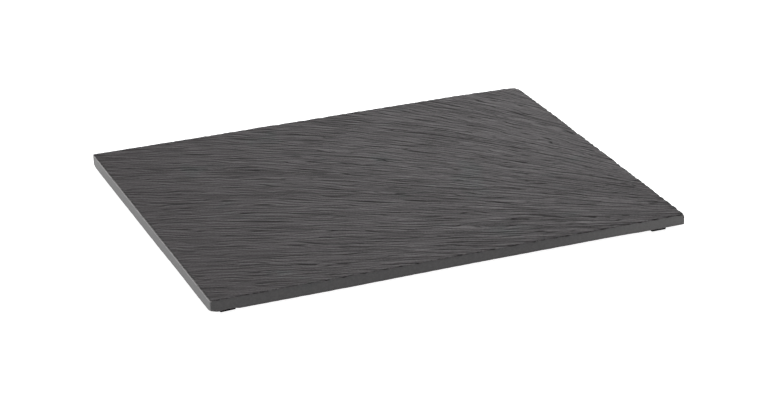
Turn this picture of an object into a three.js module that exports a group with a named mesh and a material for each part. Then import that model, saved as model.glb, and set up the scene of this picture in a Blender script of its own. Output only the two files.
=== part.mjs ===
// A slate slab: a rectangular serving plate of riven slate on four rubber pads.
// Millimetres, +Z up. The origin is on the table, under the middle of the slab.
import * as THREE from "three";

const { clamp, degToRad, lerp, smoothstep } = THREE.MathUtils;

// ---- Driving dimensions ----
const LENGTH = 325; // along X, from the left edge to the right edge
const WIDTH = 265; // along Y, from the front edge to the back edge
const THICKNESS = { frontLeft: 8.2, frontRight: 7.3, backLeft: 8.8, backRight: 7.8 };
const ARRIS = 0.4; // width and depth of the worn edge between a face and a sawn side
const FOOT_SIDE = 10.5; // side of a square pad
const FOOT_HEIGHT = 3;
const FOOT_CORNER = 1; // radius of a pad's corners in plan
const FOOT_BEVEL = 0.375; // rounding of a pad's rims

// Where each pad is stuck, by hand: its centre, and how far it is turned, in degrees.
const FEET = [
  { name: "foot_front_left", x: -149.9, y: -122, turn: 3.5 },
  { name: "foot_front_right", x: 145.9, y: -123.4, turn: 0 },
  { name: "foot_back_left", x: -147.5, y: 121.5, turn: -2 },
  { name: "foot_back_right", x: 146.5, y: 122, turn: 2.5 },
];

// ---- Knocked corners ----
const CHIP_REACH = 5.5; // how far a knocked corner reaches along the edges
const CHIP_RISE = 1.6; // how far a chip under a left-hand corner climbs the upright edge
const BACK_CLIP = new THREE.Vector2(2.2, 1); // how far the back right corner is cut back in plan
const BACK_DROP = { depth: 0.9, reach: 65 }; // how the top falls away along the right edge there
const FRONT_RIGHT_WEAR = 1; // how far the front right corner of the top is rubbed down

// ---- Split faces ----
// The grain fans out from a point beyond the front right corner, and the broad ripples follow it.
const GRAIN_FOCUS = new THREE.Vector2(249, -158);
const GRAIN_RADIUS = 290; // distance from the focus at which a ripple has its stated pitch
const GRAIN_CALM = { from: 90, to: 240 }; // near the focus the ripples die out
const TOP_RIPPLES = [
  { pitch: 41, height: 0.13, phase: 0.5, wander: 0.9, stretch: 170 },
  { pitch: 27, height: 0.07, phase: 2.6, wander: 1.3, stretch: 110 },
];
const UNDERSIDE_RIPPLES = [
  { pitch: 48, height: 0.12, phase: 1.9, wander: 1.1, stretch: 150 },
  { pitch: 29, height: 0.06, phase: 4.1, wander: 0.7, stretch: 95 },
];
const FRONT_HOLLOW = { depth: 0.6, rise: [-95, 15], fall: [100, 160], fade: 190 };
const LEFT_HOLLOW = { depth: 0.35, y: -70, spread: 32, fade: 60 };
const SEAT = { flat: 20, blend: 34 }; // the underside is flat this far around each pad

// ---- Fineness of the faceted surface ----
const EDGE_BAND = 15; // width of the finer border
const CELLS_X = 30; // cells between the borders, along X
const CELLS_Y = 24; // cells between the borders, along Y

// Height of the broad ripples at a point, along grain lines that spread from the focus.
function rippleHeight(ripples, x, y) {
  const toLeft = GRAIN_FOCUS.x - x;
  const toBack = y - GRAIN_FOCUS.y;
  const along = Math.hypot(toLeft, toBack);
  const across = Math.atan2(toBack, toLeft) * GRAIN_RADIUS;
  const calm = smoothstep(along, GRAIN_CALM.from, GRAIN_CALM.to);
  let height = 0;
  for (const ripple of ripples) {
    const drift = ripple.wander * Math.sin(along / ripple.stretch + ripple.phase);
    height += ripple.height * Math.sin((across * 2 * Math.PI) / ripple.pitch + ripple.phase + drift);
  }
  return height * calm;
}

// 0 on the seat of a pad and 1 away from every pad.
function awayFromFeet(x, y) {
  const nearest = Math.min(...FEET.map((foot) => Math.hypot(x - foot.x, y - foot.y)));
  return smoothstep(nearest, SEAT.flat, SEAT.blend);
}

function undersideHeight(x, y) {
  const fromFront = y + WIDTH / 2;
  const fromLeft = x + LENGTH / 2;
  const frontHollow =
    FRONT_HOLLOW.depth *
    smoothstep(x, ...FRONT_HOLLOW.rise) *
    (1 - smoothstep(x, ...FRONT_HOLLOW.fall)) *
    (1 - smoothstep(fromFront, 0, FRONT_HOLLOW.fade));
  const leftHollow =
    LEFT_HOLLOW.depth *
    Math.exp(-(((y - LEFT_HOLLOW.y) / LEFT_HOLLOW.spread) ** 2)) *
    (1 - smoothstep(fromLeft, 0, LEFT_HOLLOW.fade));
  // Near the edges only the measured hollows are left, so the edges keep their thickness.
  const fromEdge = Math.min(fromFront, fromLeft, WIDTH - fromFront, LENGTH - fromLeft);
  const ripples = rippleHeight(UNDERSIDE_RIPPLES, x, y) * smoothstep(fromEdge, 0, EDGE_BAND);
  return FOOT_HEIGHT + (frontHollow + leftHollow + ripples) * awayFromFeet(x, y);
}

function topHeight(x, y) {
  const u = x / LENGTH + 0.5;
  const v = y / WIDTH + 0.5;
  const thickness = lerp(
    lerp(THICKNESS.frontLeft, THICKNESS.frontRight, u),
    lerp(THICKNESS.backLeft, THICKNESS.backRight, u),
    v,
  );
  const fromBackRight = Math.hypot(LENGTH / 2 - x, WIDTH / 2 - y);
  const drop = BACK_DROP.depth * (1 - clamp(fromBackRight / BACK_DROP.reach, 0, 1)) ** 1.5;
  return FOOT_HEIGHT + thickness + rippleHeight(TOP_RIPPLES, x, y) - drop;
}

// Lines of a face's grid along one axis: finer near both edges, even in between.
function gridLines(size, cells) {
  const half = size / 2;
  const lines = [-half, -half + CHIP_REACH];
  for (let i = 0; i <= cells; i += 1) lines.push(lerp(-half + EDGE_BAND, half - EDGE_BAND, i / cells));
  lines.push(half - CHIP_REACH, half);
  return lines;
}

// The slab is one closed skin: the top face, three bands of wall, and the underside.
function slabGeometry() {
  const xs = gridLines(LENGTH, CELLS_X);
  const ys = gridLines(WIDTH, CELLS_Y);
  const lastX = xs.length - 1;
  const lastY = ys.length - 1;
  const positions = [];
  const indices = [];

  const addPoint = (x, y, z) => positions.push(x, y, z) / 3 - 1;
  const addQuad = (a, b, c, d) => indices.push(a, b, c, a, c, d);
  // +1 on the right or back border, -1 on the left or front one, 0 inside.
  const side = (index, last) => (index === last) - (index === 0);

  // A corner knocked back in plan takes its whole upright edge with it.
  function outline(i, j) {
    const isBackRight = i === lastX && j === lastY;
    return {
      x: xs[i] - (isBackRight ? BACK_CLIP.x : 0),
      y: ys[j] - (isBackRight ? BACK_CLIP.y : 0),
    };
  }
  const isChipped = (i, j) => i === 0 && (j === 0 || j === lastY);
  const isWorn = (i, j) => i === lastX && j === 0;

  function topPoint(i, j) {
    const { x, y } = outline(i, j);
    const wear = isWorn(i, j) ? FRONT_RIGHT_WEAR : 0;
    const inset = ARRIS + wear;
    return addPoint(x - side(i, lastX) * inset, y - side(j, lastY) * inset, topHeight(x, y) - wear / 3);
  }
  function undersidePoint(i, j) {
    const { x, y } = outline(i, j);
    const inset = isChipped(i, j) ? CHIP_REACH / 2 : ARRIS;
    return addPoint(x - side(i, lastX) * inset, y - side(j, lastY) * inset, undersideHeight(x, y));
  }
  function upperArris(i, j) {
    const { x, y } = outline(i, j);
    const drop = isWorn(i, j) ? ARRIS + FRONT_RIGHT_WEAR : ARRIS;
    return addPoint(x, y, topHeight(x, y) - drop);
  }
  function lowerArris(i, j) {
    const { x, y } = outline(i, j);
    return addPoint(x, y, undersideHeight(x, y) + (isChipped(i, j) ? CHIP_RISE : ARRIS));
  }

  const top = xs.map((_, i) => ys.map((__, j) => topPoint(i, j)));
  const underside = xs.map((_, i) => ys.map((__, j) => undersidePoint(i, j)));
  for (let i = 0; i < lastX; i += 1) {
    for (let j = 0; j < lastY; j += 1) {
      addQuad(top[i][j], top[i + 1][j], top[i + 1][j + 1], top[i][j + 1]);
      addQuad(underside[i][j], underside[i][j + 1], underside[i + 1][j + 1], underside[i + 1][j]);
    }
  }

  // The border, once round, with the outside on the right.
  const border = [];
  for (let i = 0; i < lastX; i += 1) border.push([i, 0]);
  for (let j = 0; j < lastY; j += 1) border.push([lastX, j]);
  for (let i = lastX; i > 0; i -= 1) border.push([i, lastY]);
  for (let j = lastY; j > 0; j -= 1) border.push([0, j]);
  const rings = [
    border.map(([i, j]) => top[i][j]),
    border.map(([i, j]) => upperArris(i, j)),
    border.map(([i, j]) => lowerArris(i, j)),
    border.map(([i, j]) => underside[i][j]),
  ];
  for (let band = 0; band < rings.length - 1; band += 1) {
    const upper = rings[band];
    const lower = rings[band + 1];
    border.forEach((_, k) => {
      const next = (k + 1) % border.length;
      addQuad(lower[k], lower[next], upper[next], upper[k]);
    });
  }

  const geometry = new THREE.BufferGeometry();
  geometry.setAttribute("position", new THREE.Float32BufferAttribute(positions, 3));
  geometry.setIndex(indices);
  geometry.computeVertexNormals();
  return geometry;
}

// A pad is a square with rounded corners, cut from sheet rubber, with softened rims.
function footGeometry() {
  const half = FOOT_SIDE / 2;
  const inner = half - FOOT_CORNER;
  const outline = new THREE.Shape();
  for (let corner = 0; corner < 4; corner += 1) {
    const start = (corner * Math.PI) / 2;
    const x = inner * Math.SQRT2 * Math.cos(start + Math.PI / 4);
    const y = inner * Math.SQRT2 * Math.sin(start + Math.PI / 4);
    outline.absarc(x, y, FOOT_CORNER, start, start + Math.PI / 2);
  }
  outline.closePath();
  const geometry = new THREE.ExtrudeGeometry(outline, {
    depth: FOOT_HEIGHT - 2 * FOOT_BEVEL,
    bevelThickness: FOOT_BEVEL,
    bevelSize: FOOT_BEVEL,
    bevelOffset: -FOOT_BEVEL,
    bevelSegments: 2,
    curveSegments: 3,
  });
  geometry.translate(0, 0, FOOT_BEVEL);
  return geometry;
}

const slate = new THREE.MeshStandardMaterial({ color: 0x454446, roughness: 0.75, metalness: 0 });
const rubber = new THREE.MeshStandardMaterial({ color: 0x161616, roughness: 0.8, metalness: 0 });

const group = new THREE.Group();

const slab = new THREE.Mesh(slabGeometry(), slate);
slab.name = "slab";
group.add(slab);

for (const place of FEET) {
  const foot = new THREE.Mesh(footGeometry(), rubber);
  foot.name = place.name;
  foot.position.set(place.x, place.y, 0);
  foot.rotation.z = degToRad(place.turn);
  group.add(foot);
}

export default group;
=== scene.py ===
# %% [markdown]
# # A riven slate slab on rubber pads
# The object is a serving slab: a plate of natural slate, split along its cleavage so that the top and the
# underside keep a fine wavy grain, then sawn to a rectangle. Four small pads of black rubber lift it off the
# table. The construction model gives the true sizes, so this lesson starts by loading it and reading them.

# %% Load the construction model
import math

import bpy
import numpy as np
from mathutils import Matrix, Vector


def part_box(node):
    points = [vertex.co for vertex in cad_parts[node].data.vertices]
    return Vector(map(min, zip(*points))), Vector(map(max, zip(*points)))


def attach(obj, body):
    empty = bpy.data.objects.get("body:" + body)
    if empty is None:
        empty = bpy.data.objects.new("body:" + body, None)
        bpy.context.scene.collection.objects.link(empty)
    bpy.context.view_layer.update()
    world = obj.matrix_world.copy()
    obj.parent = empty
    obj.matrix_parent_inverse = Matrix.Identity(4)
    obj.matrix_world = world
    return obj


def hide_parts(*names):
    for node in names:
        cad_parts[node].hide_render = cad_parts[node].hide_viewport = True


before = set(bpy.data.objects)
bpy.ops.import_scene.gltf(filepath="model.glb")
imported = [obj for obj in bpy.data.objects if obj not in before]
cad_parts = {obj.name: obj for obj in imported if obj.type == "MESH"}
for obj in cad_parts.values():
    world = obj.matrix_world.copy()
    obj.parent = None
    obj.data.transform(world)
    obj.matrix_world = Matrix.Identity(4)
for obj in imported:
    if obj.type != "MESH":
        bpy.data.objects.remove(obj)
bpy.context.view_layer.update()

MM = 0.001
slab_low, slab_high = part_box("slab")
LENGTH = round((slab_high.x - slab_low.x) / MM, 3)
WIDTH = round((slab_high.y - slab_low.y) / MM, 3)
FOOT_NODES = ["foot_front_left", "foot_front_right", "foot_back_left", "foot_back_right"]
FOOT_HEIGHT = round(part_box(FOOT_NODES[0])[1].z / MM, 3)
print(f"slab {LENGTH} x {WIDTH} mm, top at {slab_high.z / MM:.2f} mm, pads {FOOT_HEIGHT} mm high")

# %% [markdown]
# ## The camera
# A long lens well back keeps the slab's far edge nearly as long as its near one, so its shape reads truly.
# It is easier to say where such a camera looks than where it stands: an aim point on the slab, a distance,
# and three angles. The place and the rotation follow from those.

# %% Place the camera
CAMERA_AIM = Vector((-11.2, -31.45, 10.8)) * MM
CAMERA_DISTANCE = 1675.7 * MM
CAMERA_TURN = math.radians(20.96)  # swung to the left of straight on
CAMERA_RISE = math.radians(22.90)  # above the table
CAMERA_ROLL = math.radians(-1.595)
LENS = 119.67  # on a sensor 36 mm wide


def looking(turn, rise):
    """The direction in which a camera looks, from how far it is swung left and raised."""
    level = math.cos(rise)
    return Vector((math.sin(turn) * level, math.cos(turn) * level, -math.sin(rise)))


def make_camera():
    data = bpy.data.cameras.new("camera")
    data.lens = LENS
    data.sensor_width = 36
    data.clip_start = 0.05
    data.clip_end = 50
    camera = bpy.data.objects.new("camera", data)
    direction = looking(CAMERA_TURN, CAMERA_RISE)
    level_turn = direction.to_track_quat("-Z", "Y").to_matrix().to_4x4()
    roll = Matrix.Rotation(CAMERA_ROLL, 4, "Z")
    camera.matrix_world = Matrix.Translation(CAMERA_AIM - direction * CAMERA_DISTANCE) @ level_turn @ roll
    bpy.context.scene.collection.objects.link(camera)
    return camera


bpy.context.scene.camera = make_camera()
print("camera stands at", [round(c, 3) for c in bpy.context.scene.camera.location])

# %% [markdown]
# ## Table and light
# The table is white and glows a little, so the ground stays an even white and the slab throws no shadow on
# it. A big softbox above lights the top evenly. Two smaller ones stand low behind the slab and show the
# grain: they skim it from behind, so each little ridge has a light side away from us and a dark side towards
# us, and the stone gets its soft sheen. The one at the right is stronger, so the slab grows lighter that way.
# The world adds a weak even fill.

# %% Build the table and the lights
TABLE_SIDE = 12.0
TABLE_WHITE = 0.8
TABLE_GLOW = 0.95
WORLD_STRENGTH = 0.10
LIGHT_AIM = Vector((0, 0, 0))
SOFTBOXES = [  # name, place in metres, side in metres, power in watts
    ("softbox_above", (0.0, 0.0, 2.4), 3.0, 37.0),
    ("softbox_back_right", (0.88, 1.68, 0.72), 0.7, 13.0),
    ("softbox_back_left", (-0.75, 1.35, 0.5), 0.5, 3.6),
]


def make_table():
    half = TABLE_SIDE / 2
    mesh = bpy.data.meshes.new("table")
    corners = [(-half, -half, 0), (half, -half, 0), (half, half, 0), (-half, half, 0)]
    mesh.from_pydata(corners, [], [(0, 1, 2, 3)])
    material = bpy.data.materials.new("table_white")
    material.use_nodes = True
    surface = material.node_tree.nodes["Principled BSDF"]
    surface.inputs["Base Color"].default_value = (TABLE_WHITE, TABLE_WHITE, TABLE_WHITE, 1)
    surface.inputs["Roughness"].default_value = 0.9
    surface.inputs["Specular IOR Level"].default_value = 0.0
    surface.inputs["Emission Color"].default_value = (1, 1, 1, 1)
    surface.inputs["Emission Strength"].default_value = TABLE_GLOW
    mesh.materials.append(material)
    table = bpy.data.objects.new("table", mesh)
    bpy.context.scene.collection.objects.link(table)


def soft_light(name, place, side, power):
    """A square softbox at a place, facing the slab."""
    data = bpy.data.lights.new(name, "AREA")
    data.shape = "SQUARE"
    data.size = side
    data.energy = power
    light = bpy.data.objects.new(name, data)
    light.location = place
    light.rotation_euler = (LIGHT_AIM - Vector(place)).to_track_quat("-Z", "Y").to_euler()
    bpy.context.scene.collection.objects.link(light)


def make_world(strength):
    world = bpy.data.worlds.new("studio")
    world.use_nodes = True
    sky = world.node_tree.nodes["Background"]
    sky.inputs["Color"].default_value = (1, 1, 1, 1)
    sky.inputs["Strength"].default_value = strength
    bpy.context.scene.world = world


make_table()
make_world(WORLD_STRENGTH)
for softbox in SOFTBOXES:
    soft_light(*softbox)
bpy.context.scene.view_settings.view_transform = "Standard"
print(f"table {TABLE_SIDE:.0f} m wide, {len(SOFTBOXES)} softboxes")

# %% [markdown]
# ## Which way the grain runs
# Slate splits along its cleavage, and the split shows a grain: fine ridges that run the same way for a long
# stretch and bend together. On this slab they fan out from a point beyond the front right corner. They lie
# nearly along the slab at the front left, and turn steeply towards the back at the right. One formula gives
# that direction anywhere, mostly from the angle at which a place sees the point where the lines gather.

# %% Describe the grain
GRAIN_FOCUS = (220.0, -125.0)  # mm, where the grain lines gather
GRAIN_BASE = 9.0  # degrees towards the front that every grain line has
GRAIN_FAN = 0.79  # degrees more for each degree at which a place sees the focus
GRAIN_LEAN = (3.5, -23.7)  # degrees more from left to right, and from front to back


def grain_angle(x, y):
    """How far the grain turns towards the front, in radians, on its way to the right, at a place in mm."""
    seen = np.degrees(np.arctan2(y - GRAIN_FOCUS[1], GRAIN_FOCUS[0] - x))
    degrees = GRAIN_BASE + GRAIN_FAN * seen + GRAIN_LEAN[0] * x / LENGTH + GRAIN_LEAN[1] * y / WIDTH
    return np.radians(degrees)


def grain_place(x, y, steps=48):
    """Distances in mm along and across the grain, by following each grain line to the slab's middle."""
    at_x, at_y = x.copy(), y.copy()
    along = np.zeros_like(x)
    step = -x / steps
    for _ in range(steps):
        half_slope = -np.tan(grain_angle(at_x, at_y))
        middle_slope = -np.tan(grain_angle(at_x + step / 2, at_y + half_slope * step / 2))
        at_x += step
        at_y += middle_slope * step
        along -= step * np.sqrt(1 + middle_slope**2)
    return along, at_y


def grain_spacing(x, y, nudge=0.5):
    """How far apart two grain lines lie here that are 1 mm apart at the middle of the slab."""
    here = grain_place(x, y)[1]
    change_x = (grain_place(x + nudge, y)[1] - here) / nudge
    change_y = (grain_place(x, y + nudge)[1] - here) / nudge
    return 1 / np.hypot(change_x, change_y)


for spot in ((-150, -110), (0, 0), (150, 110)):
    turned = math.degrees(grain_angle(*map(float, spot)))
    print(f"at {spot} mm the grain runs {turned:.0f} degrees towards the front")

# %% [markdown]
# ## Sawing the blank
# The slab is one closed skin, like the stone itself: a top face, sawn sides and an underside. The relief will
# be real shape, so the top needs a fine grid, finer across the grain than along it. The underside is seen
# less, so its cells are twice as large. Where the two sizes meet, at the lower edge, each border cell of the
# underside simply takes the extra points of the side wall into its outline, so nothing gapes.

# %% Choose the grid
BORDER = [0.0, 1.3, 2.6]  # the first grid lines in from each edge, mm
CELLS_X = 220
CELLS_Y = 304


def grid_lines(size, cells):
    """Grid lines across the slab, in mm: fixed ones near both edges and even ones between."""
    inner = np.linspace(BORDER[-1], size - BORDER[-1], cells - 2 * len(BORDER) + 3)
    lines = np.concatenate([BORDER[:-1], inner, size - np.array(BORDER[-2::-1])])
    return lines - size / 2


line_x = grid_lines(LENGTH, CELLS_X)
line_y = grid_lines(WIDTH, CELLS_Y)
cell_x, cell_y = line_x[9] - line_x[8], line_y[9] - line_y[8]
print(f"{len(line_x) - 1} x {len(line_y) - 1} cells of {cell_x:.2f} x {cell_y:.2f} mm")

# %% [markdown]
# ## The true thickness
# The stone is about 8 mm thick, and like all split slate it is not even: it thins towards the front right.
# The underside has two shallow hollows that show at the front and left edges. The corners have been knocked:
# chips under both left corners, the back right corner cut back and worn down, and the front right one rubbed.
# A flake is also gone from the lower front edge by the left pad, so the pad shows there as a dark wedge.
# All of these are height rules, so each is a short formula over the whole slab.

# %% Write the height rules
THICKNESS = {"front_left": 8.2, "front_right": 7.3, "back_left": 8.8, "back_right": 7.8}
FRONT_HOLLOW = {"depth": 0.52, "rise": (-95, 15), "fall": (100, 160), "fade": 190}
LEFT_HOLLOW = {"depth": 0.35, "y": -70, "spread": 32, "fade": 60}
CHIP_REACH = 5.5  # along the edges from a left corner, under the slab
CHIP_RISE = 1.6
LOWER_FLAKE_CENTRE = -151.0  # along the lower front edge
LOWER_FLAKE_HALF = 6.8  # half its length
LOWER_FLAKE_REACH = 4.5  # how far it goes in from the edge
LOWER_FLAKE_RISE = 0.95
BACK_DROP_DEPTH = 0.9
BACK_DROP_REACH = 65.0
FRONT_RIGHT_WEAR = 1.0
FRONT_RIGHT_REACH = 4.0
FOOT_CENTRES = [(low + high) / 2 / MM for low, high in map(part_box, FOOT_NODES)]
SEAT_FLAT = 12.0  # the underside is flat this far around each pad's centre
SEAT_BLEND = 30.0


def eased(value, start, end):
    """0 before start, 1 after end, and a smooth rise between them."""
    share = np.clip((value - start) / (end - start), 0, 1)
    return share * share * (3 - 2 * share)


def top_height(x, y):
    u, v = x / LENGTH + 0.5, y / WIDTH + 0.5
    front = THICKNESS["front_left"] * (1 - u) + THICKNESS["front_right"] * u
    back = THICKNESS["back_left"] * (1 - u) + THICKNESS["back_right"] * u
    from_back_right = np.hypot(LENGTH / 2 - x, WIDTH / 2 - y)
    from_front_right = np.hypot(LENGTH / 2 - x, WIDTH / 2 + y)
    drop = BACK_DROP_DEPTH * np.clip(1 - from_back_right / BACK_DROP_REACH, 0, 1) ** 1.5
    wear = FRONT_RIGHT_WEAR * np.clip(1 - from_front_right / FRONT_RIGHT_REACH, 0, 1) ** 1.5
    return FOOT_HEIGHT + front * (1 - v) + back * v - drop - wear


def away_from_pads(x, y):
    """0 on the flat seats of the pads and 1 away from them."""
    nearest = np.min([np.hypot(x - c.x, y - c.y) for c in FOOT_CENTRES], axis=0)
    return eased(nearest, SEAT_FLAT, SEAT_BLEND)


def underside_height(x, y):
    front, left = y + WIDTH / 2, x + LENGTH / 2
    hollow = FRONT_HOLLOW["depth"] * eased(x, *FRONT_HOLLOW["rise"]) * (1 - eased(x, *FRONT_HOLLOW["fall"]))
    hollow = hollow * (1 - eased(front, 0, FRONT_HOLLOW["fade"]))
    bowl = LEFT_HOLLOW["depth"] * np.exp(-(((y - LEFT_HOLLOW["y"]) / LEFT_HOLLOW["spread"]) ** 2))
    hollow = hollow + bowl * (1 - eased(left, 0, LEFT_HOLLOW["fade"]))
    chip = CHIP_RISE * np.clip(1 - (left + np.minimum(front, WIDTH - front)) / CHIP_REACH, 0, 1)
    flake = LOWER_FLAKE_RISE * np.clip(1 - ((x - LOWER_FLAKE_CENTRE) / LOWER_FLAKE_HALF) ** 2, 0, 1)
    flake = flake * np.clip(1 - front / LOWER_FLAKE_REACH, 0, 1)
    return FOOT_HEIGHT + hollow * away_from_pads(x, y) + np.maximum(chip, flake)


spots = {"front left": (-150.0, -128.0), "front middle": (40.0, -132.0), "back left": (-150.0, 128.0)}
for name, (x, y) in spots.items():
    thick = top_height(x, y) - underside_height(np.array(x), np.array(y))
    print(f"{name}: {float(thick):.2f} mm thick")

# %% [markdown]
# ## Chipped edges
# A saw leaves a sharp edge on slate, and handling takes it off in tiny flakes, a few millimetres long and
# under a millimetre deep. They sit at random along every edge, so a fixed seed scatters them round the
# border. Each flake widens the worn edge there, as a smooth bump in its width.

# %% Scatter the flakes round the border
ARRIS = 0.22  # width of the worn edge where nothing is chipped, mm
LEFT_ARRIS = 0.42  # the left edge has been rubbed more than the others
UPPER_CHIPS = (0.35, 1.0, 0.45, 0.6)  # deepest flakes on the left, right, front and back, mm
LOWER_CHIPS = (0.3, 0.5, 0.2, 0.5)
UPPER_CHIP_SPACING = 5.5  # mm from one flake to the next
LOWER_CHIP_SPACING = 8.0
CHIP_HALF_LENGTHS = (1.2, 3.4)
WIDEST_ARRIS = 1.2
CHIP_SEED = 11


def border_walk(count_x, count_y):
    """Grid places once round the border, counterclockwise from the front left corner."""
    front = [(i, 0) for i in range(count_x)]
    right = [(count_x, j) for j in range(count_y)]
    back = [(count_x - i, count_y) for i in range(count_x)]
    left = [(0, count_y - j) for j in range(count_y)]
    return np.array(front + right + back + left)


def flaked_width(distance, total, seed, spacing, depths):
    """Width in mm of the worn edge at distances round the border, with flakes as deep as each side's."""
    random = np.random.default_rng(seed)
    width = np.full_like(distance, ARRIS)
    width[walk[:, 0] == 0] = LEFT_ARRIS
    sides = [walk[:, 0] == 0, walk[:, 0] == CELLS_X, walk[:, 1] == 0, walk[:, 1] == CELLS_Y]
    deep = np.select(sides, depths)
    for centre in np.arange(0, total, spacing):
        centre = centre + random.uniform(-0.4, 0.4) * spacing
        half_length = random.uniform(*CHIP_HALF_LENGTHS)
        share = random.uniform(0.15, 1.0) ** 1.5
        gap = (distance - centre + total / 2) % total - total / 2
        width += deep * share * np.clip(1 - (gap / half_length) ** 2, 0, 1)
    return np.minimum(width, WIDEST_ARRIS)


walk = border_walk(CELLS_X, CELLS_Y)
walk_place = np.stack([line_x[walk[:, 0]], line_y[walk[:, 1]]], 1)
walk_step = np.linalg.norm(np.roll(walk_place, -1, 0) - walk_place, axis=1)
walk_distance = np.concatenate([[0], np.cumsum(walk_step)[:-1]])
walk_total = walk_step.sum()
upper_flakes = flaked_width(walk_distance, walk_total, CHIP_SEED, UPPER_CHIP_SPACING, UPPER_CHIPS)
lower_flakes = flaked_width(walk_distance, walk_total, CHIP_SEED + 1, LOWER_CHIP_SPACING, LOWER_CHIPS)
print(f"border {walk_total:.0f} mm round, widest flake {upper_flakes.max():.2f} mm")

# %% [markdown]
# ## Making the skin
# Points come first: the top grid, five rings of points down the side, and the underside. Every point
# remembers where it lies in the grain, and how far it follows the relief of the top and of the underside: a
# point of the side follows each in part, so the side stretches with them instead of tearing. It also
# remembers how near an edge it is, how pale that edge is painted, and how much paler the wall is made, for
# the finishes: the right and back upper edges are painted a little pale as wear, the left one palest, which
# is wear with a painted sheen on top, and the front wall is painted paler towards its right end.

# %% Build the blank slab
BACK_CLIP = (2.2, 1.0)  # how far the back right corner is cut back, along X and Y
BACK_CLIP_REACH = (9.0, 5.0)
UPRIGHT_WEAR = 0.2  # how far the four upright edges are rubbed back
ARRIS_SLOPE = 0.85  # height of a worn edge for each mm of its width
WALL_DISTANCE = 8.0  # mm, twice as much as the middle of a wall counts as further from the edge
PALE_WEAR_AND_SHEEN = (0.55, 0.14, 0.0, 0.14)  # how pale the left, right, front and back upper edges are painted: wear, and on the left a painted sheen too
FRONT_PALING_REACH = (40, 150)  # mm along the front wall, over which it is painted paler towards its right end
WALL_SHARES = [0.25, 0.5, 0.75]  # rings of the sawn side between its two worn edges


def cut_back(x, y):
    """Moves points near the back right corner inwards, so that the corner is blunt."""
    near = np.clip(1 - (LENGTH / 2 - x) / BACK_CLIP_REACH[0], 0, 1)
    near = near * np.clip(1 - (WIDTH / 2 - y) / BACK_CLIP_REACH[1], 0, 1)
    return x - BACK_CLIP[0] * near, y - BACK_CLIP[1] * near


def inward():
    """Unit steps from each border point towards the inside, one for each axis."""
    step_x = (walk[:, 0] == 0).astype(float) - (walk[:, 0] == CELLS_X)
    step_y = (walk[:, 1] == 0).astype(float) - (walk[:, 1] == CELLS_Y)
    return step_x, step_y


def side_rings(step_x, step_y):
    """Points and follow shares of the rings down the side, from the upper worn edge to the lower one."""
    upright = np.where((step_x != 0) & (step_y != 0), UPRIGHT_WEAR, 0.0)
    x = walk_place[:, 0] + step_x * upright
    y = walk_place[:, 1] + step_y * upright
    upper = top_height(x, y) - ARRIS_SLOPE * upper_flakes
    lower = underside_height(x, y) + ARRIS_SLOPE * lower_flakes
    x, y = cut_back(x, y)
    rings = []
    for share in [0.0, *WALL_SHARES, 1.0]:
        height = upper * (1 - share) + lower * share
        rings.append((np.stack([x, y, height], 1), 1 - share, share))
    return rings


def face_points(x, y, height, follow_top, follow_under):
    moved_x, moved_y = cut_back(x, y)
    follow = np.stack([np.full_like(x, follow_top), np.full_like(x, follow_under)], 1)
    return np.stack([moved_x, moved_y, height(x, y)], 1), follow


def slab_points():
    """All points, their follow shares, and where each group of points starts."""
    step_x, step_y = inward()
    grid_x, grid_y = np.meshgrid(line_x, line_y, indexing="ij")
    top_x, top_y = grid_x.copy(), grid_y.copy()
    top_x[walk[:, 0], walk[:, 1]] += step_x * upper_flakes
    top_y[walk[:, 0], walk[:, 1]] += step_y * upper_flakes
    groups = [face_points(top_x.ravel(), top_y.ravel(), top_height, 1.0, 0.0)]
    for place, share_top, share_under in side_rings(step_x, step_y):
        follow = np.tile([share_top, share_under], (len(place), 1))
        groups.append((place, follow))
    rim_x = walk_place[:, 0] + step_x * lower_flakes
    rim_y = walk_place[:, 1] + step_y * lower_flakes
    groups.append(face_points(rim_x, rim_y, underside_height, 0.0, 1.0))
    coarse_x, coarse_y = grid_x[2:-2:2, 2:-2:2], grid_y[2:-2:2, 2:-2:2]
    groups.append(face_points(coarse_x.ravel(), coarse_y.ravel(), underside_height, 0.0, 1.0))
    starts = np.cumsum([0] + [len(place) for place, _ in groups])
    return np.concatenate([g[0] for g in groups]), np.concatenate([g[1] for g in groups]), starts


def band_faces(upper, lower):
    """Quads between two rings of the border, facing out."""
    return np.stack([lower, np.roll(lower, -1), np.roll(upper, -1), upper], 1).tolist()


def underside_faces(rim_start, inner_start):
    """Faces of the underside, with the extra rim points in the outlines of the border cells."""
    index = np.full((CELLS_X + 1, CELLS_Y + 1), -1)
    index[walk[:, 0], walk[:, 1]] = rim_start + np.arange(len(walk))
    rows, columns = CELLS_X // 2 - 1, CELLS_Y // 2 - 1
    index[2:-2:2, 2:-2:2] = inner_start + np.arange(rows * columns).reshape(rows, columns)
    faces = []
    for i in range(0, CELLS_X, 2):
        for j in range(0, CELLS_Y, 2):
            round_cell = [(i, j), (i, j + 1), (i, j + 2), (i + 1, j + 2)]
            round_cell += [(i + 2, j + 2), (i + 2, j + 1), (i + 2, j), (i + 1, j)]
            faces.append([int(index[c]) for c in round_cell if index[c] >= 0])
    return faces


def edge_state(points, follow):
    """For each point, mm to the nearest edge, how pale that edge is painted as wear and painted sheen, and
    how much paler the front wall is made.
    """
    x, y = points[:, 0], points[:, 1]
    to_sides = np.stack([x + LENGTH / 2, LENGTH / 2 - x, y + WIDTH / 2, WIDTH / 2 - y])
    distance = np.clip(to_sides.min(0), 0, None) + WALL_DISTANCE * follow.min(1)
    pale_and_sheen = np.array(PALE_WEAR_AND_SHEEN)[to_sides.argmin(0)] * follow[:, 0]
    front_paling = eased(x, *FRONT_PALING_REACH) * (to_sides.argmin(0) == 2)
    return np.stack([distance, pale_and_sheen, front_paling], 1)


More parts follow.
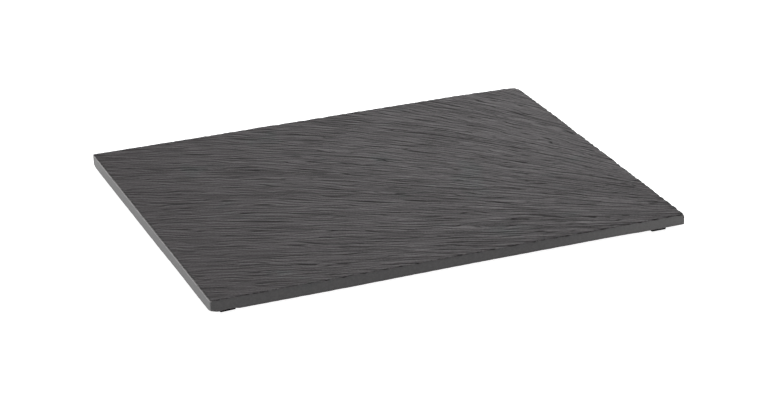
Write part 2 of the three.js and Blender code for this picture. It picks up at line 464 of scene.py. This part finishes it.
def build_blank():
    points, follow, starts = slab_points()
    grid = np.arange((CELLS_X + 1) * (CELLS_Y + 1)).reshape(CELLS_X + 1, CELLS_Y + 1)
    top = np.stack([grid[:-1, :-1], grid[1:, :-1], grid[1:, 1:], grid[:-1, 1:]], -1).reshape(-1, 4)
    rings = [grid[walk[:, 0], walk[:, 1]]]
    rings += [starts[1 + ring] + np.arange(len(walk)) for ring in range(len(WALL_SHARES) + 3)]
    faces = top.tolist()
    sides = [face for upper, lower in zip(rings, rings[1:]) for face in band_faces(upper, lower)]
    under = underside_faces(rings[-1][0], starts[-2])
    mesh = bpy.data.meshes.new("slab_riven")
    mesh.from_pydata((points * MM).tolist(), [], faces + sides + under)
    sawn = np.zeros(len(mesh.polygons), bool)
    band = len(walk)
    sawn[len(faces) + band : len(faces) + len(sides) - band] = True
    mesh.attributes.new("sawn", "BOOLEAN", "FACE").data.foreach_set("value", sawn)
    along, across = grain_place(points[:, 0], points[:, 1])
    turned = grain_angle(points[:, 0], points[:, 1])
    grain = np.stack([along, across, math.pi / 2 - turned], 1)
    pads = away_from_pads(points[:, 0], points[:, 1])
    share = np.stack([follow[:, 0], follow[:, 1] * pads, np.zeros_like(pads)], 1)
    spacing = grain_spacing(points[:, 0], points[:, 1]).astype(np.float32)
    mesh.attributes.new("grain_spacing", "FLOAT", "POINT").data.foreach_set("value", spacing)
    for name, values in (("grain", grain), ("follow", share), ("edge", edge_state(points, follow))):
        attribute = mesh.attributes.new(name, "FLOAT_VECTOR", "POINT")
        attribute.data.foreach_set("vector", values.astype(np.float32).ravel())
    slab = bpy.data.objects.new("slab_riven", mesh)
    bpy.context.scene.collection.objects.link(slab)
    return slab


slab = build_blank()
triangles = sum(len(face.vertices) - 2 for face in slab.data.polygons)
print(f"blank slab: {len(slab.data.vertices)} points, {triangles} triangles")

# %% [markdown]
# ## Small helpers for node trees
# The relief is made by a Geometry Nodes tree and the finishes by shader trees, and both need many small math
# nodes. A few helpers keep their recipes readable. The first adds a node and fills its inputs with values or
# links, and the rest use it to add the nodes that come up again and again, such as a math node, a mix of two
# colours, or a noise that is stretched along the grain.

# %% Write the node helpers
def add(tree, kind, inputs=None, **settings):
    """Adds a node, sets it up, and fills its inputs, by name or number, with values or links."""
    made = tree.nodes.new(kind)
    for name, value in settings.items():
        setattr(made, name, value)
    for key, value in (inputs or {}).items():
        if isinstance(value, bpy.types.NodeSocket):
            tree.links.new(value, made.inputs[key])
        else:
            made.inputs[key].default_value = value
    return made


def calc(tree, operation, first, second=0.0, third=0.0):
    """The result of a math node."""
    return add(tree, "ShaderNodeMath", {0: first, 1: second, 2: third}, operation=operation).outputs[0]


def calc_vector(tree, operation, first, second):
    """The vector that a vector math node gives."""
    return add(tree, "ShaderNodeVectorMath", {0: first, 1: second}, operation=operation).outputs[0]


def scale_vector(tree, vector, factor):
    """The vector made longer or shorter by a factor."""
    return add(tree, "ShaderNodeVectorMath", {0: vector, 3: factor}, operation="SCALE").outputs[0]


def mix_colour(tree, share, first, second, blend="MIX"):
    """The second colour laid over the first, by a share from 0 to 1."""
    inputs = {0: share, 6: first, 7: second}
    return add(tree, "ShaderNodeMix", inputs, data_type="RGBA", blend_type=blend).outputs[2]


def remap(tree, value, low, high, to_low=0.0, to_high=1.0, smooth=True):
    """The value moved from one range to another, held at the ends."""
    way = "SMOOTHSTEP" if smooth else "LINEAR"
    inputs = {"Value": value, "From Min": low, "From Max": high, "To Min": to_low, "To Max": to_high}
    return add(tree, "ShaderNodeMapRange", inputs, interpolation_type=way).outputs[0]


def stretched_noise(tree, along, across, seed, long, wide, detail=1.0, roughness=0.5):
    """Noise whose blotches are long mm along the grain and wide mm across it, from 0 to 1."""
    scaled = {0: calc(tree, "DIVIDE", along, long), 1: calc(tree, "DIVIDE", across, wide), 2: seed}
    vector = add(tree, "ShaderNodeCombineXYZ", scaled).outputs[0]
    inputs = {"Vector": vector, "Scale": 1.0, "Detail": detail, "Roughness": roughness}
    return add(tree, "ShaderNodeTexNoise", inputs, noise_dimensions="3D").outputs[0]


def new_group(name, kind, inputs, outputs):
    """An empty node group with named sockets, and its input and output nodes."""
    group = bpy.data.node_groups.new(name, kind)
    for direction, sockets in (("INPUT", inputs), ("OUTPUT", outputs)):
        for label, (socket_kind, default) in sockets.items():
            kind_name = "NodeSocket" + socket_kind
            made = group.interface.new_socket(name=label, in_out=direction, socket_type=kind_name)
            if default is not None:
                made.default_value = default
    return group, group.nodes.new("NodeGroupInput"), group.nodes.new("NodeGroupOutput")


print("node helpers are ready")

# %% [markdown]
# ## The pattern of a split face
# A split face is built up from several sizes of the same thing. Broad swells are a hand wide. Flakes are
# thin sheets of slate that end one after another: each rises slowly over its width and drops by a short step,
# with a crease beside it. They come in four widths, and where the grain lines spread or crowd, a width fades
# once it is too wide or too narrow there. Ripples, about four millimetres apart, cover everything and come
# and go in patches, and finer ones lie among them. Swells and flakes follow grain lines, so they use
# distances along and across the grain. The ripples use a Gabor texture, which is made of short waves that all
# run one way, and that way may turn from place to place while the spacing stays true. Left alone they would
# lie as evenly as on corrugated card, so a slow noise pushes them together and apart, and they fade where
# the short waves fall out of step. The same recipe is built twice: for Geometry Nodes, which shape the stone,
# and for the shader, so that the painted shade of a groove lies exactly where its shape is.

# %% Write the recipe of a split face
FLAKE_PITCHES = (28.0, 14.0, 7.0, 3.5)  # mm across the grain, at the middle of the slab
FLAKE_STEP = 1.2  # mm, width of the step down from one flake to the next
FLAKE_RISE = 0.04  # mm that a flake rises for each mm of its width
FLAKE_SWAY = 2.4  # how far a flake's edge sways, in widths of the flake
WIDEST_RISING = 7.0  # mm, a wider flake rises no higher than this one
SWELL_HEIGHT = 0.5  # mm
SWELL_SIZE = (130, 34)  # mm along and across the grain
RELIEF_DROP = -0.12  # mm, so that the crests stay inside the true thickness
RIPPLE_SPACING = 4.3  # mm
RIPPLE_HEIGHT = 0.11  # mm
FINE_SHARE = 1.5  # how many fine ripples go to one ripple
RIPPLE_CROWDING = 9.0  # mm, how far the ripples are pushed together and apart
CROWD_SIZE = (34, 9)  # mm along and across the grain, of the places where they are pushed
PATCH_SIZE = (34, 17)  # and of the patches where they come and go
RIPPLE_CELL = 12.0  # mm, the length over which ripples stay in step
RIPPLE_STEEP = 0.28  # share of a ripple's width taken by its steep side
RIPPLE_FADE = (0.02, 0.35)  # how strong the short waves are where the ripples start, and where they are full
TROUGH_SHARE = 0.36  # share of a ripple's height that counts as its trough
FINE_CELL = 8.0


def ripples(tree, place, turn, cell, spacing, straightness):
    """Height of steep-sided ripples along the grain, centred on 0, and the creases between them."""
    inputs = {"Vector": place, "Scale": 1 / cell, "Frequency": calc(tree, "DIVIDE", cell, spacing)}
    inputs.update({"Anisotropy": straightness, 4: turn})
    wave = add(tree, "ShaderNodeTexGabor", inputs, gabor_type="2D")
    strength = remap(tree, wave.outputs["Intensity"], *RIPPLE_FADE)
    phase = calc(tree, "SUBTRACT", 1.0, wave.outputs["Phase"])
    slow = calc(tree, "DIVIDE", phase, 1 - RIPPLE_STEEP)
    steep = calc(tree, "DIVIDE", calc(tree, "SUBTRACT", 1.0, phase), RIPPLE_STEEP)
    ridge = calc(tree, "MINIMUM", slow, steep)
    height = calc(tree, "MULTIPLY", calc(tree, "SUBTRACT", ridge, 0.5), strength)
    trough = calc(tree, "SUBTRACT", remap(tree, ridge, 0.0, TROUGH_SHARE, 1.0, 0.0), TROUGH_SHARE / 2)
    return height, calc(tree, "MULTIPLY", trough, strength)


def flakes(tree, along, across, spacing, seed):
    """Height of the flakes in mm, and how deep in a crease between two of them a place lies, from 0 to 1."""
    height, crease = 0.0, 0.0
    for order, pitch in enumerate(FLAKE_PITCHES):
        local = calc(tree, "MULTIPLY", spacing, pitch)
        sway_seed = calc(tree, "ADD", seed, 11.7 * order)
        sway = stretched_noise(tree, along, across, sway_seed, 14 * pitch, 2.4 * pitch, detail=0.0)
        count = calc(tree, "DIVIDE", calc(tree, "MULTIPLY_ADD", sway, FLAKE_SWAY * pitch, across), pitch)
        phase = calc(tree, "FRACT", count)
        step = calc(tree, "DIVIDE", FLAKE_STEP, local)
        slow = calc(tree, "DIVIDE", phase, calc(tree, "SUBTRACT", 1.0, step))
        steep = calc(tree, "DIVIDE", calc(tree, "SUBTRACT", 1.0, phase), step)
        ridge = calc(tree, "MINIMUM", slow, steep)
        show_seed = calc(tree, "ADD", seed, 11.7 * order + 5)
        show = stretched_noise(tree, along, across, show_seed, 10 * pitch, 1.2 * pitch)
        seen = calc(tree, "MULTIPLY", remap(tree, local, 1.6, 2.8), remap(tree, local, 6.0, 12.0, 1.0, 0.25))
        seen = calc(tree, "MULTIPLY", seen, remap(tree, show, 0.42, 0.58))
        rise = calc(tree, "MULTIPLY", calc(tree, "MINIMUM", local, WIDEST_RISING), FLAKE_RISE)
        lifted = calc(tree, "MULTIPLY", calc(tree, "SUBTRACT", ridge, 0.5), rise)
        height = calc(tree, "MULTIPLY_ADD", lifted, seen, height)
        near = calc(tree, "MULTIPLY", calc(tree, "MINIMUM", phase, calc(tree, "SUBTRACT", 1.0, phase)), local)
        line = calc(tree, "MULTIPLY", remap(tree, near, 0.15, 0.75, 1.0, 0.0), seen)
        crease = calc(tree, "MAXIMUM", crease, line)
    return height, crease


def riven_pattern(kind):
    """The split-face pattern as a group for the given kind of tree."""
    inputs = {
        "Grain": ("Vector", None),
        "Spacing": ("Float", 1.0),
        "Place": ("Vector", None),
        "Seed": ("Float", 0.0),
        "Ripple Spacing": ("Float", RIPPLE_SPACING),
    }
    names = ("Relief", "Flake", "Ripple", "Fine", "Groove", "Trough", "Fine Trough")
    outputs = {name: ("Float", None) for name in names}
    group, given, result = new_group("Riven pattern for " + kind, kind, inputs, outputs)
    grain = add(group, "ShaderNodeSeparateXYZ", {0: given.outputs["Grain"]})
    along, across, turn = grain.outputs[0], grain.outputs[1], grain.outputs[2]
    seed = given.outputs["Seed"]

    swell = stretched_noise(group, along, across, seed, *SWELL_SIZE)
    flake_seed = calc(group, "ADD", seed, 50.0)
    height, crease = flakes(group, along, across, given.outputs["Spacing"], flake_seed)

    shift = add(group, "ShaderNodeCombineXYZ", {0: seed, 1: seed}).outputs[0]
    place = calc_vector(group, "ADD", given.outputs["Place"], shift)
    crowd = stretched_noise(group, along, across, calc(group, "ADD", seed, 31.0), *CROWD_SIZE)
    push = calc(group, "MULTIPLY", crowd, RIPPLE_CROWDING)
    push_x = calc(group, "MULTIPLY", calc(group, "COSINE", turn), push)
    push_y = calc(group, "MULTIPLY", calc(group, "SINE", turn), push)
    pushed = add(group, "ShaderNodeCombineXYZ", {0: push_x, 1: push_y}).outputs[0]
    place = calc_vector(group, "ADD", place, pushed)
    wave, trough = ripples(group, place, turn, RIPPLE_CELL, given.outputs["Ripple Spacing"], 1.0)
    patch_noise = stretched_noise(group, along, across, calc(group, "ADD", seed, 23.9), *PATCH_SIZE)
    patch = remap(group, patch_noise, 0.35, 0.6, 0.5, 1.0)
    fine_patch = remap(group, patch_noise, 0.4, 0.65, 1.0, 0.35)
    fine_spacing = calc(group, "DIVIDE", given.outputs["Ripple Spacing"], FINE_SHARE)
    fine, fine_trough = ripples(group, place, turn, FINE_CELL, fine_spacing, 0.95)

    waves = calc(group, "MULTIPLY", wave, patch)
    relief = calc(group, "MULTIPLY_ADD", calc(group, "SUBTRACT", swell, 0.5), SWELL_HEIGHT, RELIEF_DROP)
    relief = calc(group, "ADD", relief, height)
    relief = calc(group, "MULTIPLY_ADD", waves, RIPPLE_HEIGHT, relief)
    fine_waves = calc(group, "MULTIPLY", fine, fine_patch)
    troughs = calc(group, "MULTIPLY", trough, patch)
    fine_troughs = calc(group, "MULTIPLY", fine_trough, fine_patch)
    values = (relief, height, waves, fine_waves, crease, troughs, fine_troughs)
    for name, value in zip(names, values):
        group.links.new(value, result.inputs[name])
    return group


riven_shape = riven_pattern("GeometryNodeTree")
riven_shade = riven_pattern("ShaderNodeTree")
print(f"split-face recipe: {len(riven_shape.nodes)} nodes")

# %% [markdown]
# ## Finishes of the stone
# Slate is a dark, slightly violet grey, with faint cloudy patches that lean green. Its split faces have a
# soft sheen from the mica in them. The sawn sides are smoother, so at a glancing angle they mirror the white
# table and look much lighter. Two effects serve both finishes, so each is a shader group: the cloudy mineral
# colour with its fine speckle, and the edge group, which paints an edge pale as wear, with a painted sheen on
# the left upper edge, and paints dark specks just inside it as painted shade of small chips.

# %% Make the mineral colour group
CLOUD_SIZE = 42  # mm
SPECKLE_SIZE = 1.4
GREEN_LEAN = (0.90, 1.03, 1.0, 1)


def mineral_colour():
    inputs = {
        "Place": ("Vector", None),
        "Base": ("Color", (0.055, 0.053, 0.055, 1)),
        "Amount": ("Float", 1.0),
    }
    outputs = {"Color": ("Color", None), "Speckle": ("Float", None)}
    group, given, result = new_group("Mineral colour", "ShaderNodeTree", inputs, outputs)
    place = given.outputs["Place"]
    cloud_inputs = {"Vector": place, "Scale": 1 / CLOUD_SIZE, "Detail": 3.0, "Roughness": 0.55}
    cloud = add(group, "ShaderNodeTexNoise", cloud_inputs).outputs[0]
    speckle_inputs = {"Vector": place, "Scale": 1 / SPECKLE_SIZE, "Detail": 2.0}
    speckle = add(group, "ShaderNodeTexNoise", speckle_inputs).outputs[0]
    tint = mix_colour(group, remap(group, cloud, 0.6, 0.72), (1.0, 1.0, 1.0, 1), GREEN_LEAN)
    tinted = mix_colour(group, given.outputs["Amount"], given.outputs["Base"], tint, blend="MULTIPLY")
    shade = remap(group, speckle, 0.3, 0.7, 0.78, 1.22, smooth=False)
    group.links.new(scale_vector(group, tinted, shade), result.inputs["Color"])
    group.links.new(speckle, result.inputs["Speckle"])
    return group


mineral = mineral_colour()
print(f"mineral colour group: {len(mineral.nodes)} nodes")

# %% Make the edge wear and painted light group
def edge_wear_and_painted_light():
    inputs = {
        "Place": ("Vector", None),
        "Edge": ("Vector", None),
        "Base": ("Color", (0.04, 0.04, 0.04, 1)),
        "Bruise And Sheen": ("Color", (0.55, 0.54, 0.53, 1)),
        "Reach": ("Float", 0.8),
        "Painted Chip Shade": ("Float", 1.0),
    }
    group, given, result = new_group("Edge wear and painted light", "ShaderNodeTree", inputs, {"Color": ("Color", None)})
    edge = add(group, "ShaderNodeSeparateXYZ", {0: given.outputs["Edge"]})
    noise_inputs = {"Vector": given.outputs["Place"], "Scale": 1 / 1.6, "Detail": 2.0}
    broken = add(group, "ShaderNodeTexNoise", noise_inputs).outputs[0]
    # Painted sheen and wear: the edge is painted pale by its share; on the left upper edge that is mostly a
    # painted sheen.
    near = remap(group, calc(group, "DIVIDE", edge.outputs[0], given.outputs["Reach"]), 0.15, 1.0, 1.0, 0.0)
    wear_and_sheen = calc(group, "MULTIPLY", near, edge.outputs[1])
    wear_and_sheen = calc(group, "MULTIPLY", wear_and_sheen, remap(group, broken, 0.3, 0.5, 0.45, 1.0))
    bruised_and_sheen = mix_colour(group, wear_and_sheen, given.outputs["Base"], given.outputs["Bruise And Sheen"])
    # Painted shade: dark specks just inside the edge stand in for the shadows of small chips.
    past_edge = remap(group, edge.outputs[0], 0.1, 0.5)
    beside = calc(group, "MULTIPLY", past_edge, remap(group, edge.outputs[0], 0.8, 1.9, 1.0, 0.0))
    painted_chip_shade = calc(group, "MULTIPLY", beside, remap(group, broken, 0.44, 0.54))
    dark = calc(group, "MULTIPLY_ADD", calc(group, "MULTIPLY", painted_chip_shade, given.outputs["Painted Chip Shade"]), -0.75, 1.0)
    group.links.new(scale_vector(group, bruised_and_sheen, dark), result.inputs["Color"])
    return group


wear = edge_wear_and_painted_light()
print(f"edge wear group: {len(wear.nodes)} nodes")

# %% [markdown]
# ## The split faces
# On a split face the crests of the ripples catch a soft sheen, and the troughs stay dull and dark, because
# light doesn't reach them. So the recipe's troughs and creases darken the colour as painted shade, the crests
# are painted a little lighter as painted highlight, and the troughs are roughened. The finest part of the
# relief is too small for the mesh, so a bump adds it.

# %% Finish the split faces
SPLIT_BASE = (0.0496, 0.0436, 0.0461, 1)
CREST_ROUGHNESS = 0.62
TROUGH_ROUGHNESS = 0.88
CREST_BRIGHT = 1.28  # times the base colour
TROUGH_PAINTED_SHADE = 1.2  # painted shade taken off that at the bottom of a trough; the crests get a little added as painted highlight
FINE_TROUGH_PAINTED_SHADE = 1.1
DARKEST = 0.15
CREASE_SHADE = 0.25
BUMP_HEIGHTS = {"Ripple": 0.17, "Fine": 0.10, "Flake": 0.5}
SPECKLE_BUMP = 0.12
SLAB_SEED = 3.0


def place_in_mm(tree):
    """The place on the object, in mm."""
    place = add(tree, "ShaderNodeTexCoord").outputs["Object"]
    return scale_vector(tree, place, 1 / MM)


def group_node(tree, group, inputs):
    """A node that uses a group."""
    return add(tree, "ShaderNodeGroup", inputs, node_tree=group)


def new_material(name):
    material = bpy.data.materials.new(name)
    material.use_nodes = True
    return material, material.node_tree, material.node_tree.nodes["Principled BSDF"]


def split_slate():
    material, tree, surface = new_material("slate_split")
    place = place_in_mm(tree)
    grain = add(tree, "ShaderNodeAttribute", attribute_name="grain").outputs["Vector"]
    spacing = add(tree, "ShaderNodeAttribute", attribute_name="grain_spacing").outputs["Fac"]
    pattern_inputs = {"Grain": grain, "Spacing": spacing, "Place": place, "Seed": SLAB_SEED}
    pattern = group_node(tree, riven_shade, pattern_inputs)
    colour = group_node(tree, mineral, {"Place": place, "Base": SPLIT_BASE})
    # Painted shade: creases and troughs darken the colour, and the crests are painted a little lighter as
    # painted highlight.
    dark = remap(tree, pattern.outputs["Groove"], 0.0, 1.0, 1.0, CREASE_SHADE, smooth=False)
    lines = calc(tree, "MULTIPLY_ADD", pattern.outputs["Trough"], -TROUGH_PAINTED_SHADE, CREST_BRIGHT)
    lines = calc(tree, "MULTIPLY_ADD", pattern.outputs["Fine Trough"], -FINE_TROUGH_PAINTED_SHADE, lines)
    shade = calc(tree, "MULTIPLY", dark, calc(tree, "MAXIMUM", lines, DARKEST))
    shaded = scale_vector(tree, colour.outputs["Color"], shade)
    edge = add(tree, "ShaderNodeAttribute", attribute_name="edge").outputs["Vector"]
    worn_and_lit = group_node(tree, wear, {"Place": place, "Edge": edge, "Base": shaded})
    tree.links.new(worn_and_lit.outputs["Color"], surface.inputs["Base Color"])
    low = calc(tree, "MULTIPLY_ADD", pattern.outputs["Fine Trough"], 0.7, pattern.outputs["Trough"])
    low = calc(tree, "ADD", low, pattern.outputs["Groove"])
    rough = remap(tree, low, -0.3, 1.0, CREST_ROUGHNESS, TROUGH_ROUGHNESS, smooth=False)
    tree.links.new(rough, surface.inputs["Roughness"])
    surface.inputs["Specular IOR Level"].default_value = 0.3
    height = calc(tree, "MULTIPLY", colour.outputs["Speckle"], SPECKLE_BUMP)
    for name, tall in BUMP_HEIGHTS.items():
        height = calc(tree, "MULTIPLY_ADD", pattern.outputs[name], tall, height)
    bump = add(tree, "ShaderNodeBump", {"Strength": 1.0, "Distance": MM, "Height": height})
    tree.links.new(bump.outputs[0], surface.inputs["Normal"])
    return material


slate_split = split_slate()
print(f"{slate_split.name}: {len(slate_split.node_tree.nodes)} nodes")

# %% [markdown]
# ## The sawn sides
# A saw leaves the slate flat, dark and fairly smooth, so the sides need only an even gloss and a faint bump.
# Towards its right end the front wall is made paler, by a thin mix of a pale colour over the colour.

# %% Finish the sawn sides
SAWN_BASE = (0.030, 0.028, 0.029, 1)
SAWN_ROUGHNESS = 0.42
FRONT_PALING_COLOUR = (0.45, 0.44, 0.43, 1)
FRONT_PALING_COVER = 0.09


def sawn_slate():
    material, tree, surface = new_material("slate_sawn")
    place = place_in_mm(tree)
    colour = group_node(tree, mineral, {"Place": place, "Base": SAWN_BASE})
    edge = add(tree, "ShaderNodeAttribute", attribute_name="edge").outputs["Vector"]
    # The front wall is painted paler towards its right end.
    front_paling_share = calc(tree, "MULTIPLY", add(tree, "ShaderNodeSeparateXYZ", {0: edge}).outputs[2], FRONT_PALING_COVER)
    front_paled = mix_colour(tree, front_paling_share, colour.outputs["Color"], FRONT_PALING_COLOUR)
    worn_and_lit = group_node(tree, wear, {"Place": place, "Edge": edge, "Base": front_paled, "Painted Chip Shade": 0.3})
    tree.links.new(worn_and_lit.outputs["Color"], surface.inputs["Base Color"])
    surface.inputs["Roughness"].default_value = SAWN_ROUGHNESS
    bump_inputs = {"Strength": 0.3, "Distance": 0.0001, "Height": colour.outputs["Speckle"]}
    bump = add(tree, "ShaderNodeBump", bump_inputs)
    tree.links.new(bump.outputs[0], surface.inputs["Normal"])
    return material


slate_sawn = sawn_slate()
print(f"{slate_sawn.name}: {len(slate_sawn.node_tree.nodes)} nodes")

# %% [markdown]
# ## Splitting the stone
# Geometry Nodes read what each point remembers and lift or lower it by the relief. Points of the side follow
# in part. The tree ends by giving the split faces and the sawn side their finishes. Its result becomes a
# plain mesh, so that nothing live is left on the piece. The underside is split too, and is taken to be the
# flatter face, so its relief is less than half as high.

# %% Build the relief tree
UNDERSIDE_RELIEF = 0.4  # times the height of the top's relief
SMOOTH_ANGLE = math.radians(38)  # a sharper fold than this shows as an edge


def relief_tree():
    inputs = {
        "Geometry": ("Geometry", None),
        "Top Relief": ("Float", 1.0),
        "Underside Relief": ("Float", 1.0),
        "Ripple Spacing": ("Float", RIPPLE_SPACING),
        "Seed": ("Float", 3.0),
        "Split Finish": ("Material", None),
        "Sawn Finish": ("Material", None),
    }
    outputs = {"Geometry": ("Geometry", None)}
    group, given, result = new_group("Riven relief", "GeometryNodeTree", inputs, outputs)
    grain = add(group, "GeometryNodeInputNamedAttribute", {"Name": "grain"}, data_type="FLOAT_VECTOR")
    follow = add(group, "GeometryNodeInputNamedAttribute", {"Name": "follow"}, data_type="FLOAT_VECTOR")
    spacing = add(group, "GeometryNodeInputNamedAttribute", {"Name": "grain_spacing"}, data_type="FLOAT")
    shares = add(group, "ShaderNodeSeparateXYZ", {0: follow.outputs["Attribute"]})
    position = group.nodes.new("GeometryNodeInputPosition").outputs[0]
    place = scale_vector(group, position, 1 / MM)
    lift = 0.0
    for side, relief in ((0, "Top Relief"), (1, "Underside Relief")):
        pattern_inputs = {
            "Grain": grain.outputs["Attribute"],
            "Spacing": spacing.outputs["Attribute"],
            "Place": place,
            "Seed": calc(group, "ADD", given.outputs["Seed"], 40.0 * side),
            "Ripple Spacing": given.outputs["Ripple Spacing"],
        }
        pattern = add(group, "GeometryNodeGroup", pattern_inputs, node_tree=riven_shape)
        height = calc(group, "MULTIPLY", pattern.outputs["Relief"], given.outputs[relief])
        lift = calc(group, "MULTIPLY_ADD", height, shares.outputs[side], lift)
    offset = add(group, "ShaderNodeCombineXYZ", {2: calc(group, "MULTIPLY", lift, MM)}).outputs[0]
    moved = add(group, "GeometryNodeSetPosition", {"Geometry": given.outputs["Geometry"], "Offset": offset})
    sawn = add(group, "GeometryNodeInputNamedAttribute", {"Name": "sawn"}, data_type="BOOLEAN")
    split_inputs = {"Geometry": moved.outputs[0], "Material": given.outputs["Split Finish"]}
    split = add(group, "GeometryNodeSetMaterial", split_inputs)
    side_inputs = {
        "Geometry": split.outputs[0],
        "Selection": sawn.outputs["Attribute"],
        "Material": given.outputs["Sawn Finish"],
    }
    finished = add(group, "GeometryNodeSetMaterial", side_inputs)
    real = add(group, "GeometryNodeRealizeInstances", {0: finished.outputs[0]})
    group.links.new(real.outputs[0], result.inputs["Geometry"])
    return group


def run_tree(piece, tree, values):
    """Runs a tree on a piece with the given named inputs and keeps the result as its plain mesh."""
    modifier = piece.modifiers.new(tree.name, "NODES")
    modifier.node_group = tree
    sockets = {s.name: s.identifier for s in tree.interface.items_tree if s.in_out == "INPUT"}
    for name, value in values.items():
        modifier[sockets[name]] = value
    evaluated = piece.evaluated_get(bpy.context.evaluated_depsgraph_get())
    made = bpy.data.meshes.new_from_object(evaluated)
    piece.modifiers.clear()
    made.name = piece.name
    piece.data = made


def shade_smooth(piece):
    """Smooth shading, except at sharp folds."""
    piece.data.polygons.foreach_set("use_smooth", np.ones(len(piece.data.polygons), bool))
    piece.data.set_sharp_from_angle(angle=SMOOTH_ANGLE)


slab_values = {"Seed": SLAB_SEED, "Underside Relief": UNDERSIDE_RELIEF}
slab_values.update({"Split Finish": slate_split, "Sawn Finish": slate_sawn})
run_tree(slab, relief_tree(), slab_values)
shade_smooth(slab)
heights = np.array([v.co.z for v in slab.data.vertices]) / MM
print(f"slab after splitting: z from {heights.min():.2f} to {heights.max():.2f} mm")
print("its finishes are", [material.name for material in slab.data.materials])
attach(slab, "root")
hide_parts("slab")

# %% [markdown]
# ## Rubber pads
# Each pad is a small square of black rubber with slightly rounded corners, stuck on by a thin film. It could
# be a bevelled cube, but the rule is short: every level of the pad is the same rounded square, drawn in a
# little where the lower rim is rounded and at the film. So a tree starts from a plain cylinder and moves each
# point to its place in the rounded square.

# %% Build the pad tree
PAD_RINGS = 24  # steps from the lower face to the upper one
FILM_INSET = 0.14  # mm that the film is drawn in


def pad_inset(tree, height, given):
    """How far a level of the pad is drawn in, in mm: round at the lower rim, and a small step at the film."""
    rim = given.outputs["Rim Radius"]
    below = calc(tree, "MAXIMUM", calc(tree, "SUBTRACT", 1.0, calc(tree, "DIVIDE", height, rim)), 0.0)
    arc = calc(tree, "SQRT", calc(tree, "SUBTRACT", 1.0, calc(tree, "MULTIPLY", below, below)))
    rounding = calc(tree, "MULTIPLY", calc(tree, "SUBTRACT", 1.0, arc), rim)
    film_start = calc(tree, "SUBTRACT", given.outputs["Height"], given.outputs["Film Thickness"])
    film = calc(tree, "GREATER_THAN", height, film_start)
    return calc(tree, "MULTIPLY_ADD", film, FILM_INSET, rounding)


def pad_tree():
    inputs = {
        "Side": ("Float", 10.5),
        "Height": ("Float", 3.0),
        "Corner Radius": ("Float", 1.0),
        "Rim Radius": ("Float", 0.3),
        "Film Thickness": ("Float", 0.2),
        "Centre": ("Vector", None),
        "Turn": ("Float", 0.0),
        "Finish": ("Material", None),
    }
    outputs = {"Geometry": ("Geometry", None)}
    group, given, result = new_group("Rubber pad", "GeometryNodeTree", inputs, outputs)
    blank_inputs = {"Vertices": 64, "Side Segments": PAD_RINGS, "Radius": 1.0, "Depth": 2.0}
    blank = add(group, "GeometryNodeMeshCylinder", blank_inputs, fill_type="NGON")
    start = add(group, "ShaderNodeSeparateXYZ", {0: group.nodes.new("GeometryNodeInputPosition").outputs[0]})
    level = calc(group, "MULTIPLY_ADD", start.outputs[2], 0.5, 0.5)
    height = calc(group, "MULTIPLY", level, given.outputs["Height"])
    radius = calc(group, "SUBTRACT", given.outputs["Corner Radius"], pad_inset(group, height, given))
    half_side = calc(group, "MULTIPLY", given.outputs["Side"], 0.5)
    reach = calc(group, "SUBTRACT", half_side, given.outputs["Corner Radius"])
    placed = []
    for axis in (0, 1):
        corner = calc(group, "MULTIPLY", calc(group, "SIGN", start.outputs[axis]), reach)
        placed.append(calc(group, "MULTIPLY_ADD", start.outputs[axis], radius, corner))
    local = add(group, "ShaderNodeCombineXYZ", {0: placed[0], 1: placed[1], 2: height}).outputs[0]
    turn_inputs = {"Vector": local, "Angle": given.outputs["Turn"]}
    turned = add(group, "ShaderNodeVectorRotate", turn_inputs, rotation_type="Z_AXIS")
    moved = calc_vector(group, "ADD", turned.outputs[0], given.outputs["Centre"])
    metres = scale_vector(group, moved, MM)
    shaped = add(group, "GeometryNodeSetPosition", {"Geometry": blank.outputs["Mesh"], "Position": metres})
    finish_inputs = {"Geometry": shaped.outputs[0], "Material": given.outputs["Finish"]}
    finished = add(group, "GeometryNodeSetMaterial", finish_inputs)
    real = add(group, "GeometryNodeRealizeInstances", {0: finished.outputs[0]})
    group.links.new(real.outputs[0], result.inputs["Geometry"])
    return group


pad_builder = pad_tree()
print(f"pad tree: {len(pad_builder.nodes)} nodes")

# %% [markdown]
# ## The rubber
# The pads are matt black. The mineral colour group serves here too, with its clouds turned off, because its
# speckle also suits the dusty skin of rubber.

# %% Finish the rubber
RUBBER = (0.005, 0.005, 0.0055, 1)
RUBBER_ROUGHNESS = 0.75
RUBBER_BUMP = 0.04  # mm


def pad_rubber():
    material, tree, surface = new_material("pad_rubber")
    place = place_in_mm(tree)
    colour = group_node(tree, mineral, {"Place": place, "Base": RUBBER, "Amount": 0.0})
    tree.links.new(colour.outputs["Color"], surface.inputs["Base Color"])
    surface.inputs["Roughness"].default_value = RUBBER_ROUGHNESS
    surface.inputs["Specular IOR Level"].default_value = 0.1
    height = calc(tree, "MULTIPLY", colour.outputs["Speckle"], RUBBER_BUMP)
    bump = add(tree, "ShaderNodeBump", {"Strength": 1.0, "Distance": MM, "Height": height})
    tree.links.new(bump.outputs[0], surface.inputs["Normal"])
    return material


rubber = pad_rubber()
print(f"{rubber.name}: {len(rubber.node_tree.nodes)} nodes")

# %% Mould the four pads
PAD_TURNS = {"foot_front_left": 3.5, "foot_front_right": 0.0, "foot_back_left": -2.0, "foot_back_right": 2.5}

for node, centre in zip(FOOT_NODES, FOOT_CENTRES):
    pad = bpy.data.objects.new(node + "_rubber", bpy.data.meshes.new(node + "_rubber"))
    bpy.context.scene.collection.objects.link(pad)
    turn = math.radians(PAD_TURNS[node])
    run_tree(pad, pad_builder, {"Centre": (centre.x, centre.y, 0.0), "Turn": turn, "Finish": rubber})
    shade_smooth(pad)
    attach(pad, "root")
    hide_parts(node)
    low, high = [Vector(f(v.co[a] for v in pad.data.vertices) for a in range(3)) / MM for f in (min, max)]
    ranges = [f"{axis} {low[i]:.2f} to {high[i]:.2f}" for i, axis in enumerate("xyz")]
    print(f"{node}: {', '.join(ranges)} mm")
